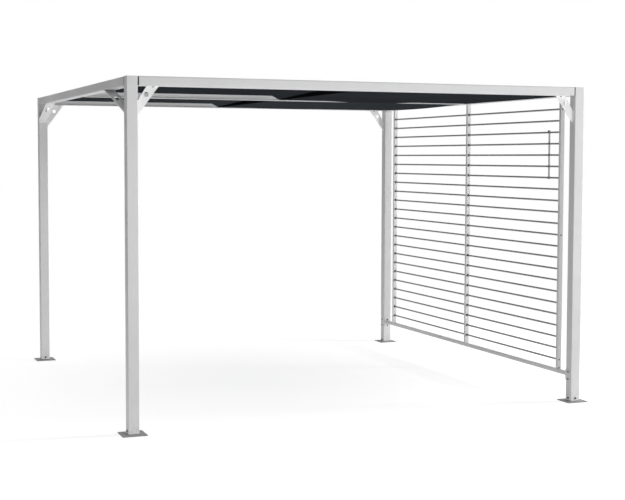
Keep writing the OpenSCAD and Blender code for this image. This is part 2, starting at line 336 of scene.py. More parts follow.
def link_noise(tree, vector, scale, detail=2.0, rough=0.5):
    """Adds a Noise Texture and returns its value."""
    node = tree.nodes.new("ShaderNodeTexNoise")
    node.inputs["Detail"].default_value = detail
    node.inputs["Roughness"].default_value = rough
    if isinstance(scale, (int, float)):
        node.inputs["Scale"].default_value = scale
    else:
        tree.links.new(scale, node.inputs["Scale"])
    tree.links.new(vector, node.inputs["Vector"])
    return node.outputs["Fac"]


def link_mix(tree, share, first, second):
    """Adds a colour Mix node and returns its output."""
    node = tree.nodes.new("ShaderNodeMix")
    node.data_type = "RGBA"
    for socket, value in ((node.inputs[0], share), (node.inputs[6], first), (node.inputs[7], second)):
        if isinstance(value, (int, float)):
            socket.default_value = value
        elif isinstance(value, (tuple, list)):
            socket.default_value = (*value[:3], 1.0)
        else:
            tree.links.new(value, socket)
    return node.outputs[2]


def new_group(name, inputs, outputs):
    """Starts a shader node group with named sockets."""
    tree = bpy.data.node_groups.new(name, "ShaderNodeTree")
    for label, kind, value in inputs:
        socket = tree.interface.new_socket(label, in_out="INPUT", socket_type=kind)
        if value is not None:
            socket.default_value = value
    for label, kind in outputs:
        tree.interface.new_socket(label, in_out="OUTPUT", socket_type=kind)
    return tree, tree.nodes.new("NodeGroupInput"), tree.nodes.new("NodeGroupOutput")


def use_group(tree, name, values):
    """Places a group in a material with its own values or links."""
    node = tree.nodes.new("ShaderNodeGroup")
    node.node_tree = bpy.data.node_groups[name]
    for label, value in values.items():
        if isinstance(value, (int, float)):
            node.inputs[label].default_value = value
        else:
            tree.links.new(value, node.inputs[label])
    return node


VALUE = "NodeSocketFloat"
VECTOR = "NodeSocketVector"


def make_coat_group():
    """Orange peel and slow unevenness of a powder coat."""
    tree, start, end = new_group(
        "Powder coat",
        [("Place", VECTOR, None), ("Peel scale", VALUE, 700.0), ("Patch scale", VALUE, 5.0)],
        [("Height", VALUE), ("Patches", VALUE), ("Specks", VALUE)])
    place = start.outputs["Place"]
    peel = link_noise(tree, place, start.outputs["Peel scale"], 1.5, 0.4)
    patches = link_noise(tree, place, start.outputs["Patch scale"], 3.0, 0.55)
    specks = link_noise(tree, place, 260.0, 1.0, 0.4)
    tree.links.new(peel, end.inputs["Height"])
    tree.links.new(link_range(tree, patches, 0.3, 0.7), end.inputs["Patches"])
    tree.links.new(link_range(tree, specks, 0.72, 0.8), end.inputs["Specks"])


def make_dust_group():
    """Dust and splashes near the ground."""
    tree, start, end = new_group(
        "Ground dust",
        [("Place", VECTOR, None), ("Reach", VALUE, 0.12)],
        [("Dust", VALUE)])
    split = tree.nodes.new("ShaderNodeSeparateXYZ")
    tree.links.new(start.outputs["Place"], split.inputs[0])
    share = link_math(tree, "DIVIDE", split.outputs["Z"], start.outputs["Reach"])
    fall = link_range(tree, share, 0.0, 1.0, 1.0, 0.0)
    cloud = link_noise(tree, start.outputs["Place"], 38.0, 4.0, 0.65)
    patchy = link_range(tree, cloud, 0.36, 0.66)
    tree.links.new(link_times(tree, fall, patchy), end.inputs["Dust"])


def make_rub_group():
    """Rubbed edges, from how the surface turns within a small radius."""
    tree, start, end = new_group(
        "Edge rub",
        [("Place", VECTOR, None), ("Reach", VALUE, 0.002)],
        [("Rub", VALUE)])
    bevel = tree.nodes.new("ShaderNodeBevel")
    bevel.samples = 4
    tree.links.new(start.outputs["Reach"], bevel.inputs["Radius"])
    geometry = tree.nodes.new("ShaderNodeNewGeometry")
    dot = tree.nodes.new("ShaderNodeVectorMath")
    dot.operation = "DOT_PRODUCT"
    tree.links.new(bevel.outputs["Normal"], dot.inputs[0])
    tree.links.new(geometry.outputs["Normal"], dot.inputs[1])
    edge = link_range(tree, dot.outputs["Value"], 0.97, 0.8)
    broken = link_range(tree, link_noise(tree, start.outputs["Place"], 130.0, 3.0, 0.6), 0.42, 0.62)
    tree.links.new(link_times(tree, edge, broken), end.inputs["Rub"])


def make_weave_group():
    """Plain weave from two sets of threads, with uneven yarn."""
    tree, start, end = new_group(
        "Cloth weave",
        [("Place", VECTOR, None), ("Thread", VALUE, 0.0016)],
        [("Height", VALUE), ("Tone", VALUE)])
    split = tree.nodes.new("ShaderNodeSeparateXYZ")
    tree.links.new(start.outputs["Place"], split.inputs[0])
    turns = link_math(tree, "DIVIDE", math.pi, start.outputs["Thread"])
    waves = []
    for axis in ("X", "Y"):
        waves.append(link_math(tree, "SINE", link_times(tree, split.outputs[axis], turns)))
    over = link_times(tree, waves[0], waves[1])
    bulges = [link_math(tree, "ABSOLUTE", wave) for wave in waves]
    rounded = link_add(tree, bulges[0], bulges[1])
    height = link_add(tree, link_times(tree, over, 0.35), link_times(tree, rounded, 0.3))
    stretch = tree.nodes.new("ShaderNodeMapping")
    stretch.inputs["Scale"].default_value = (1.0, 24.0, 1.0)
    tree.links.new(start.outputs["Place"], stretch.inputs["Vector"])
    slub = link_noise(tree, stretch.outputs["Vector"], 9.0, 3.0, 0.6)
    cloud = link_noise(tree, start.outputs["Place"], 2.6, 3.0, 0.5)
    tone = link_add(tree, link_times(tree, slub, 0.45), link_times(tree, cloud, 0.55))
    tree.links.new(height, end.inputs["Height"])
    tree.links.new(tone, end.inputs["Tone"])


def make_stitch_group():
    """Lines of stitches along the hems and across the seams of a sheet."""
    tree, start, end = new_group(
        "Stitching",
        [("Place", VECTOR, None), ("Wide", VALUE, 1.4), ("Long", VALUE, 1.4), ("Hem", VALUE, 0.028),
         ("Seams", VALUE, 3.0)],
        [("Thread", VALUE), ("Fold", VALUE)])
    split = tree.nodes.new("ShaderNodeSeparateXYZ")
    tree.links.new(start.outputs["Place"], split.inputs[0])
    stitch = 6.5 * MM
    lines = []
    folds = []

    def add_line(off, along):
        dashes = link_math(tree, "SINE", link_times(tree, along, 2 * math.pi / stitch))
        dash = link_range(tree, dashes, -0.55, -0.25)
        near = link_range(tree, link_math(tree, "ABSOLUTE", off), 0.0009, 0.0005)
        lines.append(link_times(tree, near, dash))

    for axis, other, size in (("X", "Y", "Wide"), ("Y", "X", "Long")):
        value = split.outputs[axis]
        far = link_math(tree, "SUBTRACT", start.outputs[size], value)
        edge = link_math(tree, "MINIMUM", value, far)
        for share in (0.86, 0.7):
            seam = link_times(tree, start.outputs["Hem"], share)
            add_line(link_math(tree, "SUBTRACT", edge, seam), split.outputs[other])
        past = link_math(tree, "SUBTRACT", edge, start.outputs["Hem"])
        folds.append(link_range(tree, past, 0.0012, -0.0012))
    strip = link_math(tree, "DIVIDE", start.outputs["Wide"], start.outputs["Seams"])
    phase = link_math(tree, "FRACT", link_math(tree, "DIVIDE", split.outputs["X"], strip))
    near = link_math(tree, "MINIMUM", phase, link_math(tree, "SUBTRACT", 1.0, phase))
    away = link_times(tree, near, strip)
    folds.append(link_range(tree, away, 0.0085, 0.0065))
    add_line(link_math(tree, "SUBTRACT", away, 0.0045), split.outputs["Y"])
    for label, masks in (("Thread", lines), ("Fold", folds)):
        highest = masks[0]
        for mask in masks[1:]:
            highest = link_math(tree, "MAXIMUM", highest, mask)
        tree.links.new(highest, end.inputs[label])


def new_material(name, colour, roughness, metallic=0.0):
    """Starts a material and returns it with its tree, shader and texture coordinates."""
    material = bpy.data.materials.new(name)
    material.use_nodes = True
    material.diffuse_color = (*colour, 1.0)
    tree = material.node_tree
    shader = tree.nodes["Principled BSDF"]
    shader.inputs["Base Color"].default_value = (*colour, 1.0)
    shader.inputs["Roughness"].default_value = roughness
    shader.inputs["Metallic"].default_value = metallic
    coords = tree.nodes.new("ShaderNodeTexCoord")
    return material, tree, shader, coords


def link_bump(tree, shader, height, strength, distance):
    """Feeds a height into the shader's normal."""
    bump = tree.nodes.new("ShaderNodeBump")
    bump.inputs["Strength"].default_value = strength
    bump.inputs["Distance"].default_value = distance
    tree.links.new(height, bump.inputs["Height"])
    tree.links.new(bump.outputs["Normal"], shader.inputs["Normal"])


def scaled(colour, share):
    return tuple(min(1.0, c * share) for c in colour)


def coat_material(name, colour, roughness, dust=0.5, rub=0.0, peel=0.12):
    """Powder coated metal with orange peel, slow unevenness, dust low down and rubbed edges."""
    material, tree, shader, coords = new_material(name, colour, roughness)
    place = coords.outputs["Object"]
    coat = use_group(tree, "Powder coat", {"Place": place})
    low = use_group(tree, "Ground dust", {"Place": place})
    shade = link_mix(tree, coat.outputs["Patches"], scaled(colour, 0.965), scaled(colour, 1.02))
    specks = link_times(tree, coat.outputs["Specks"], 0.12)
    shade = link_mix(tree, specks, shade, scaled(colour, 0.7))
    dusty = link_times(tree, low.outputs["Dust"], dust)
    shade = link_mix(tree, dusty, shade, DUST)
    if rub > 0:
        worn = use_group(tree, "Edge rub", {"Place": place})
        share = link_times(tree, worn.outputs["Rub"], rub)
        shade = link_mix(tree, share, shade, RUBBED_COAT)
    tree.links.new(shade, shader.inputs["Base Color"])
    gloss = link_range(tree, coat.outputs["Patches"], 0.0, 1.0, roughness - 0.05, roughness + 0.06)
    gloss = link_math(tree, "ADD", gloss, link_times(tree, dusty, 0.4), clamp=True)
    tree.links.new(gloss, shader.inputs["Roughness"])
    shader.inputs["Specular IOR Level"].default_value = 0.4
    link_bump(tree, shader, coat.outputs["Height"], peel, 0.0006)
    return material


def plastic_material(name, colour, roughness):
    """Moulded plastic with a fine eroded grain."""
    material, tree, shader, coords = new_material(name, colour, roughness)
    place = coords.outputs["Object"]
    coat = use_group(tree, "Powder coat", {"Place": place, "Peel scale": 1600.0, "Patch scale": 40.0})
    shade = link_mix(tree, coat.outputs["Patches"], scaled(colour, 0.8), scaled(colour, 1.35))
    tree.links.new(shade, shader.inputs["Base Color"])
    gloss = link_range(tree, coat.outputs["Patches"], 0.0, 1.0, roughness - 0.06, roughness + 0.08)
    tree.links.new(gloss, shader.inputs["Roughness"])
    link_bump(tree, shader, coat.outputs["Height"], 0.3, 0.0003)
    return material


def screw_material(name, colour):
    """Blackened steel, with paler rubbed edges."""
    material, tree, shader, coords = new_material(name, colour, 0.42, 1.0)
    place = coords.outputs["Object"]
    coat = use_group(tree, "Powder coat", {"Place": place, "Peel scale": 2200.0, "Patch scale": 120.0})
    worn = use_group(tree, "Edge rub", {"Place": place, "Reach": 0.0006})
    shade = link_mix(tree, coat.outputs["Patches"], scaled(colour, 0.7), scaled(colour, 1.5))
    share = link_times(tree, worn.outputs["Rub"], 0.5)
    shade = link_mix(tree, share, shade, RUBBED_STEEL)
    tree.links.new(shade, shader.inputs["Base Color"])
    gloss = link_range(tree, coat.outputs["Patches"], 0.0, 1.0, 0.34, 0.5)
    tree.links.new(gloss, shader.inputs["Roughness"])
    link_bump(tree, shader, coat.outputs["Height"], 0.2, 0.0002)
    return material


def cloth_material(name, colour, wide, long, hem, seams):
    """Woven cloth with stitched hems and seams, from the sheet's flat coordinates in metres."""
    material, tree, shader, coords = new_material(name, colour, 0.86)
    place = coords.outputs["UV"]
    weave = use_group(tree, "Cloth weave", {"Place": place})
    sizes = {"Place": place, "Wide": wide, "Long": long, "Hem": hem, "Seams": float(seams)}
    sewn = use_group(tree, "Stitching", sizes)
    tone = link_range(tree, weave.outputs["Tone"], 0.3, 0.7)
    # Painted shade: the cloth is darker where the weave lies low
    valley_shade = link_range(tree, weave.outputs["Height"], 0.0, 0.8, 0.3, 0.0)
    # Painted shade: the cloth is darker over the folded hems and seams
    folds = link_times(tree, sewn.outputs["Fold"], 0.22)
    threads = link_times(tree, sewn.outputs["Thread"], 0.7)
    shade = link_mix(tree, tone, scaled(colour, 0.8), scaled(colour, 1.22))
    for share, level in ((valley_shade, 0.4), (folds, 0.5), (threads, 2.4)):
        shade = link_mix(tree, share, shade, scaled(colour, level))
    tree.links.new(shade, shader.inputs["Base Color"])
    gloss = link_range(tree, weave.outputs["Tone"], 0.3, 0.7, 0.8, 0.94)
    tree.links.new(gloss, shader.inputs["Roughness"])
    shader.inputs["Specular IOR Level"].default_value = 0.0
    raised = link_add(tree, weave.outputs["Height"], link_times(tree, sewn.outputs["Fold"], 1.2))
    raised = link_add(tree, raised, link_times(tree, sewn.outputs["Thread"], 0.8))
    link_bump(tree, shader, raised, 0.5, 0.0006)
    return material


# Canopies

def spaced(low, high, steps, fine_from=None, fine_steps=0):
    """Places from low to high, closer together past a point."""
    if fine_from is None:
        return np.linspace(low, high, steps + 1)
    coarse = np.linspace(low, fine_from, steps + 1)
    return np.concatenate([coarse[:-1], np.linspace(fine_from, high, fine_steps + 1)])


def with_hem(places, hem):
    """Adds grid lines at both hems' folds."""
    low = min(places[0], places[-1])
    high = max(places[0], places[-1])
    fold = 1.2 * MM
    extra = [low + hem - fold, low + hem + fold, high - hem - fold, high - hem + fold]
    kept = [p for p in places if min(abs(p - e) for e in extra) > 3 * MM]
    return np.array(sorted(kept + extra))


def smooth_step(value, low, high):
    t = np.clip((value - low) / (high - low), 0.0, 1.0)
    return t * t * (3 - 2 * t)


def ripples(x, y, phase):
    """Soft folds that differ from canopy to canopy."""
    slow = np.sin(2.1 * x + 3.3 * y + phase) + 0.6 * np.sin(5.2 * x - 2.7 * y + 1.7 * phase)
    fine = np.sin(11.0 * x + 4.0 * y + 2.3 * phase) * np.sin(3.0 * y + phase)
    return slow / 1.6 + 0.35 * fine


def sheet_piece(name, x, y, z, hem, material, node):
    """Closed thin sheet round a grid of points, thicker at the hems."""
    middle = np.stack([x, y, z], axis=-1)
    along = np.gradient(middle, axis=0)
    across = np.gradient(middle, axis=1)
    normal = np.cross(along, across)
    normal /= np.linalg.norm(normal, axis=-1, keepdims=True)
    run = np.linalg.norm(np.diff(middle, axis=0), axis=-1)
    rise = np.linalg.norm(np.diff(middle, axis=1), axis=-1)
    flat_u = np.concatenate([np.zeros((1, x.shape[1])), np.cumsum(run, axis=0)])
    flat_v = np.concatenate([np.zeros((x.shape[0], 1)), np.cumsum(rise, axis=1)], axis=1)
    wide = float(flat_u[-1].mean())
    long = float(flat_v[:, -1].mean())
    flat_u *= wide / flat_u[-1:]
    flat_v *= long / flat_v[:, -1:]
    edge = np.minimum(np.minimum(flat_u, wide - flat_u), np.minimum(flat_v, long - flat_v))
    half = np.where(edge < hem, HEM_HALF, CLOTH_HALF)[..., None]
    nu, nv = x.shape
    top = (middle + normal * half).reshape(-1, 3)
    low = (middle - normal * half).reshape(-1, 3)
    count = nu * nv
    faces = []
    for i in range(nu - 1):
        for j in range(nv - 1):
            a = i * nv + j
            quad = (a, a + nv, a + nv + 1, a + 1)
            faces.append(quad)
            faces.append(tuple(count + k for k in quad[::-1]))
    rim = [i * nv for i in range(nu)] + [(nu - 1) * nv + j for j in range(1, nv)]
    rim += [i * nv + nv - 1 for i in range(nu - 2, -1, -1)] + [j for j in range(nv - 2, 0, -1)]
    for k, a in enumerate(rim):
        b = rim[(k + 1) % len(rim)]
        faces.append((b, a, count + a, count + b))
    piece = new_piece(name, np.concatenate([top, low]), faces, material)
    flat = np.stack([flat_u.ravel(), flat_v.ravel()], axis=-1)
    layer = piece.data.uv_layers.new(name="Flat")
    corner = np.zeros(len(piece.data.loops), np.int32)
    piece.data.loops.foreach_get("vertex_index", corner)
    layer.data.foreach_set("uv", flat[corner % count].astype(np.float32).ravel())
    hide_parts(node)
    return piece, wide, long


class GAZEBO_OT_canopies(bpy.types.Operator):
    """Makes the four canopies as sewn sheets of cloth in place of the plain slabs"""
    bl_idname = "gazebo.canopies"
    bl_label = "Canopies"

    def execute(self, context):
        cloth = context.scene.gazebo_cloth
        for sy, bay in ((-1, "front"), (1, "back")):
            self.upper(sy, bay, cloth)
            self.lower(sy, bay, cloth)
        return {"FINISHED"}

    def upper(self, sy, bay, cloth):
        """Left canopy, which lies on the upper ledges, with a free end that droops at its corners."""
        low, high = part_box(bay + "_left_canopy")
        bar_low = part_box(bay + "_canopy_bar")[0]
        end = bar_low.x - 2.5 * MM
        seat = low.z + CLOTH_LIFT
        fine_length = 0.2
        droop_length = 0.06
        corner_share = 0.08
        xs = with_hem(spaced(low.x, end, 64, end - fine_length, 26), cloth.hem)
        ys = with_hem(spaced(low.y, high.y, 80), cloth.hem)
        x, y = np.meshgrid(xs, ys, indexing="ij")
        v = (y - low.y) / (high.y - low.y)
        arch = 1 - (2 * v - 1) ** 2
        inner = np.sqrt(np.clip(arch, 0, 1))
        z = seat - 5 * MM * arch * smooth_step(x, low.x, low.x + 0.5)
        z += 1.4 * MM * ripples(x, y, 0.7 + sy) * inner
        drop = smooth_step(x, end - droop_length, end)
        tip_z = bar_low.z + 6 * MM
        crest_z = seat - 1 * MM
        inward = np.minimum(v, 1 - v)
        edge_z = tip_z + (crest_z - tip_z) * 2 * inward
        z = z + (edge_z - z) * drop
        pull = 14 * MM * smooth_step(seat - z, 3 * MM, 14 * MM)
        y = y + pull * np.where(v < 0.5, 1, -1) * np.clip(1 - inward / corner_share, 0, 1)
        self.sew(bay, "left", cloth, x, y, z)

    def sew(self, bay, side, cloth, x, y, z):
        """Turns a grid of points into the bay's sheet with its own cloth."""
        # The back bay gets a lighter copy of the cloth: painted light
        tone = scaled(cloth.cloth, 1.0 if bay == "front" else cloth.back_painted_light)
        wide = x[-1, 0] - x[0, 0]
        long = y[0, -1] - y[0, 0]
        material = cloth_material("Cloth of the %s %s canopy" % (bay, side), tone, wide, long, cloth.hem, 3)
        node = "%s_%s_canopy" % (bay, side)
        piece, wide, long = sheet_piece("%s_%s_sheet" % (bay, side), x, y, z, cloth.hem, material, node)

    def lower(self, sy, bay, cloth):
        """Right canopy, which lies on the lower ledges and sags."""
        low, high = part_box(bay + "_right_canopy")
        seat = low.z + CLOTH_LIFT
        xs = with_hem(spaced(low.x, high.x, 84), cloth.hem)
        ys = with_hem(spaced(low.y, high.y, 80), cloth.hem)
        x, y = np.meshgrid(xs, ys, indexing="ij")
        v = (y - low.y) / (high.y - low.y)
        u = (x - low.x) / (high.x - low.x)
        arch = 1 - (2 * v - 1) ** 2
        inner = np.sqrt(np.clip(arch, 0, 1))
        if sy < 0:
            belly = smooth_step(x, -0.05, 0.42) * (1 - 0.45 * smooth_step(x, 0.6, 0.85))
            belly *= 1 - 0.88 * smooth_step(x, 1.02, 1.42)
        else:
            belly = 0.7 * smooth_step(u, 0.0, 0.22) * (1 - 0.55 * smooth_step(u, 0.3, 1.0))
        z = seat - cloth.sag * arch * belly
        z += 1.8 * MM * ripples(x, y, 2.1 + 1.3 * sy) * inner * smooth_step(u, 0.0, 0.08)
        crease_x = 0.78 + 0.25 * (v - 0.5)
        crease = np.exp(-((x - crease_x) / (16 * MM)) ** 2)
        z -= 2.2 * MM * crease * arch
        self.sew(bay, "right", cloth, x, y, z)


class GAZEBO_OT_sleeves(bpy.types.Operator):
    """Wraps the leading bars of the right canopies in a tall cloth sleeve, whose near-black colour is painted
    shade of the fold there
    """
    bl_idname = "gazebo.sleeves"
    bl_label = "Leading bar sleeves"

    def execute(self, context):
        cloth = context.scene.gazebo_cloth
        material = painted_shade_sleeve_material(cloth.sleeve)
        for bay in ("front", "back"):
            self.sleeve(bay, cloth.sleeve_top, material)
        return {"FINISHED"}

    def sleeve(self, bay, top, material):
        """Sleeve along a leading bar, low at its ends and tall between them."""
        low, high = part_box(bay + "_canopy_bar")
        steps = 96
        arc = 12
        end_tall = 12 * MM
        slim_tall = 26 * MM
        verts = []
        half = (high.x - low.x) / 2
        centre = (low.x + high.x) / 2
        for k in range(steps + 1):
            y = low.y + (high.y - low.y) * k / steps
            inside = min(y - low.y, high.y - y)
            grown = float(smooth_step(inside, 0.012, 0.05))
            tall = end_tall + (top - end_tall) * grown
            sway = 0.7 * MM * math.sin(9 * y + 1.0) + 0.4 * MM * math.sin(23 * y)
            slim = half * (1 - 0.35 * float(smooth_step(tall, end_tall, slim_tall)))
            turns = [math.pi * i / (arc - 1) for i in range(arc)]
            for turn in turns:
                verts.append((centre - half * math.cos(turn), y, low.z + half - half * math.sin(turn)))
            for turn in turns:
                rise = low.z + tall - slim + slim * math.sin(turn)
                verts.append((centre + sway * grown + slim * math.cos(turn), y, rise))
        n = 2 * arc
        faces = []
        for k in range(steps):
            for i in range(n):
                j = (i + 1) % n
                faces.append((k * n + i, k * n + j, (k + 1) * n + j, (k + 1) * n + i))
        faces.append(tuple(range(n)))
        faces.append(tuple(steps * n + i for i in range(n))[::-1])
        piece = new_piece(bay + "_bar_sleeve_painted_shade", verts, faces, material)
        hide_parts(bay + "_canopy_bar")


def painted_shade_sleeve_material(colour):
    """Near-black woven sleeve, its black painted shade of the fold at the leading bar, with its weave from
    the place on the part.
    """
    material, tree, shader, coords = new_material("Sleeve cloth as painted shade", colour, 0.92)
    turned = tree.nodes.new("ShaderNodeMapping")
    turned.inputs["Rotation"].default_value = (0.0, math.radians(90), 0.0)
    tree.links.new(coords.outputs["Object"], turned.inputs["Vector"])
    weave = use_group(tree, "Cloth weave", {"Place": turned.outputs["Vector"], "Thread": 0.0012})
    tone = link_range(tree, weave.outputs["Tone"], 0.3, 0.7)
    shade = link_mix(tree, tone, scaled(colour, 0.7), scaled(colour, 1.5))
    tree.links.new(shade, shader.inputs["Base Color"])
    gloss = link_range(tree, weave.outputs["Tone"], 0.3, 0.7, 0.86, 0.97)
    tree.links.new(gloss, shader.inputs["Roughness"])
    shader.inputs["Specular IOR Level"].default_value = 0.0
    link_bump(tree, shader, weave.outputs["Height"], 0.5, 0.0004)
    return material


# Fasteners

def bar_heights():
    """Heights of the screen's bars, from the lowest to the highest."""
    low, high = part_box("screen_front_bars")
    radius = (high.x - low.x) / 2
    return np.linspace(low.z + radius, high.z - radius, BAR_COUNT)


class GAZEBO_OT_screws(bpy.types.Operator):
    """Sets the screws on the feet, braces, stays, brackets and stiles"""
    bl_idname = "gazebo.screws"
    bl_label = "Screws"

    def execute(self, context):
        sizes = context.scene.gazebo_fasteners
        groups = {
            "foot_screws": (self.foot_places(), sizes.screw_d),
            "brace_screws": (self.brace_places(), sizes.screw_d),
            "coated_screws": (self.coated_places(), sizes.small_screw_d),
            "bracket_screws": (self.bracket_places(), sizes.bracket_screw_d),
            "stile_screws": (self.stile_places(), sizes.small_screw_d),
        }
        for name, (places, diameter) in groups.items():
            steel = bpy.data.materials["Brace coat with painted light" if name == "coated_screws" else "Black steel"]
            verts, faces = screw_head(diameter)
            parts = Parts()
            for spin, (place, direction) in enumerate(places):
                parts.add(verts, faces, facing(direction, place, 0.7 * spin))
            new_piece(name, parts.verts, parts.faces, steel, smooth=False)
        return {"FINISHED"}

    def foot_places(self):
        """Screws that hold the posts on the feet's spigots."""
        sides = {
            "front_left": ((-1, 0), (1, 0)),
            "back_left": ((0, -1), (0, 1)),
            "front_right": ((0, -1), (-1, 0), (0, 1)),
            "back_right": ((-1, 0), (1, 0)),
        }
        places = []
        for corner, faces in sides.items():
            low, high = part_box(corner + "_post")
            middle = (low + high) / 2
            half = (high.x - low.x) / 2
            for nx, ny in faces:
                places.append(((middle.x + nx * half, middle.y + ny * half, FOOT_SCREW_Z), (nx, ny, 0)))
        return places

    def brace_corners(self):
        """Each brace's post side, the middle of its depth, its top and the way it reaches."""
        for beam in ("front_beam", "back_beam"):
            for side, sx in (("left", 1), ("right", -1)):
                low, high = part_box(beam + "_" + side + "_brace")
                yield low.x if sx > 0 else high.x, (low.y + high.y) / 2, high.z, sx

    def brace_places(self):
        """Screws through the beams' flanges of the braces."""
        places = []
        for post_x, y, top, sx in self.brace_corners():
            for dy in (-BRACE_SCREW_HALF, BRACE_SCREW_HALF):
                places.append(((post_x + sx * BRACE_SCREW_REACH, y + dy, top - BRACE_PLATE), (0, 0, -1)))
        return places

    def coated_places(self):
        """Coated screws through the posts' flanges of the braces and the tabs of the stays."""
        places = []
        for post_x, y, top, sx in self.brace_corners():
            for dy in (-BRACE_SCREW_HALF, BRACE_SCREW_HALF):
                places.append(((post_x + sx * BRACE_PLATE, y + dy, top - BRACE_SCREW_DROP), (sx, 0, 0)))
        for end, sy in (("front", 1), ("back", -1)):
            low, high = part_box("left_beam_" + end + "_stay")
            x = (low.x + high.x) / 2
            post_y = low.y if sy > 0 else high.y
            far_y = high.y if sy > 0 else low.y
            for dx in (-STAY_SCREW_HALF, STAY_SCREW_HALF):
                places.append(((x + dx, far_y - sy * STAY_SCREW_INSET, high.z - BRACE_PLATE), (0, 0, -1)))
                places.append(((x + dx, post_y + sy * BRACE_PLATE, low.z + STAY_SCREW_INSET), (0, sy, 0)))
        return places

    def bracket_places(self):
        """Screws through the rail's end brackets."""
        places = []
        low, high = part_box("rail_back_bracket")
        pair_z = (low.z + high.z) / 2 - BRACKET_SCREW_DROP
        x = (low.x + high.x) / 2
        post_low, post_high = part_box("back_right_post")
        post_y = (post_low.y + post_high.y) / 2
        heights = (pair_z - BRACKET_SCREW_HALF, pair_z + BRACKET_SCREW_HALF)
        for z in heights:
            places.append(((x, high.y - BRACKET_PLATE, z), (0, -1, 0)))
            places.append(((post_low.x, post_y, z), (-1, 0, 0)))
        low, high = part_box("rail_front_bracket")
        post_low, post_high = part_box("front_right_post")
        for z in heights:
            places.append(((x, post_high.y + BRACKET_PLATE, z), (0, 1, 0)))
            places.append(((low.x, post_high.y - TAB_SCREW_INSET, z), (-1, 0, 0)))
        return places

    def stile_places(self):
        """Screws through the stiles into the lowest, middle and highest bar."""
        heights = bar_heights()
        places = []
        for stile, sy in (("screen_front_stile", -1), ("screen_back_stile", 1)):
            low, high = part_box(stile)
            x = (low.x + high.x) / 2
            y = low.y if sy < 0 else high.y
            for z in (heights[0], heights[BAR_COUNT // 2], heights[-1]):
                places.append(((x, y, z), (0, sy, 0)))
            places.append(((x, y, low.z + STILE_SCREW_RISE), (0, sy, 0)))
        return places


class GAZEBO_OT_bushes(bpy.types.Operator):
    """Puts a dark bush round each end of the screen's bars"""
    bl_idname = "gazebo.bushes"
    bl_label = "Bar bushes"

    def execute(self, context):
        sizes = context.scene.gazebo_fasteners
        plastic = bpy.data.materials["Black plastic"]
        r = sizes.bush_d / 2
        length = sizes.bush_len
        clearance = 0.1 * MM
        for row in ("front", "back"):
            low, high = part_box("screen_" + row + "_bars")
            x = (low.x + high.x) / 2
            inner = (high.x - low.x) / 2 + clearance
            profile = [(inner, 0), (r, 0), (r, 0.55 * length), (0.94 * r, 0.8 * length),
                       (0.8 * r, 0.97 * length), (inner, length)]
            verts, faces = lathe(profile, 20, closed=True)
            parts = Parts()
            for z in bar_heights():
                parts.add(verts, faces, facing((0, 1, 0), (x, low.y, z)))
                parts.add(verts, faces, facing((0, -1, 0), (x, high.y, z)))
            new_piece("screen_" + row + "_bushes", parts.verts, parts.faces, plastic)
        return {"FINISHED"}


class GAZEBO_OT_tie_clips(bpy.types.Operator):
    """Adds the clip at the top of the screen's tie strip and its saddles on the bars"""
    bl_idname = "gazebo.tie_clips"
    bl_label = "Tie strip clips"

    def execute(self, context):
        plastic = bpy.data.materials["Grey plastic"]
        low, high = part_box("screen_tie")
        y = (low.y + high.y) / 2
        parts = Parts()
        wide = high.y - low.y
        saddle_size = (wide + 5 * MM, 13 * MM, 3.2 * MM)
        clip_size = (wide + 6 * MM, 20 * MM, 6 * MM)
        clip_z = high.z - 5 * MM
        verts, faces = soft_block(saddle_size, 1.2 * MM)
        turn = Matrix(((0, 0, -1), (1, 0, 0), (0, -1, 0))).to_4x4()
        for z in bar_heights()[-3:-8:-1]:
            parts.add(verts, faces, Matrix.Translation((low.x, y, z)) @ turn)
        verts, faces = soft_block(clip_size, 1.6 * MM)
        parts.add(verts, faces, Matrix.Translation((low.x, y, clip_z)) @ turn)
        new_piece("screen_tie_clips", parts.verts, parts.faces, plastic)
        return {"FINISHED"}


# Finishes of the frame

class GAZEBO_OT_finishes(bpy.types.Operator):
    """Builds the finishes and puts them on the frame's own pieces"""
    bl_idname = "gazebo.finishes"
    bl_label = "Finishes"

    def execute(self, context):
        make_coat_group()
        make_dust_group()
        make_rub_group()
        make_weave_group()
        make_stitch_group()
        finish = context.scene.gazebo_finish
        plastic_material("Black plastic", finish.plug, 0.6)
        plastic_material("Grey plastic", finish.clip, 0.55)
        screw_material("Black steel", finish.screw)
        by_slot = {
            "frame": coat_material("Frame coat", finish.coat, finish.gloss, dust=0.35),
            # The brace coat's extra paleness is painted light on the shaded stays
            "brace": coat_material("Brace coat with painted light", finish.brace, finish.gloss, dust=0.0, rub=0.3),
            "foot": coat_material("Foot coat", finish.foot, finish.gloss + 0.08, 0.3, 0.45, 0.2),
            "screen": coat_material("Screen coat", finish.screen, finish.gloss - 0.04, dust=0.2),
            "bars": coat_material("Bar coat", finish.bars, finish.gloss + 0.1, dust=0.2),
            "plug": bpy.data.materials["Black plastic"],
            "dark_bar": bpy.data.materials["Black plastic"],
            "canopy": bpy.data.materials["Grey plastic"],
        }
        for part in frame["record"]["subparts"]:
            node = NODES[part["node"]]
            material = by_slot["bars" if part["node"].endswith("_bars") else part["material_slot"]]
            if not node.material_slots:
                node.data.materials.append(material)
            for place in node.material_slots:
                place.material = material
        return {"FINISHED"}


# Stage

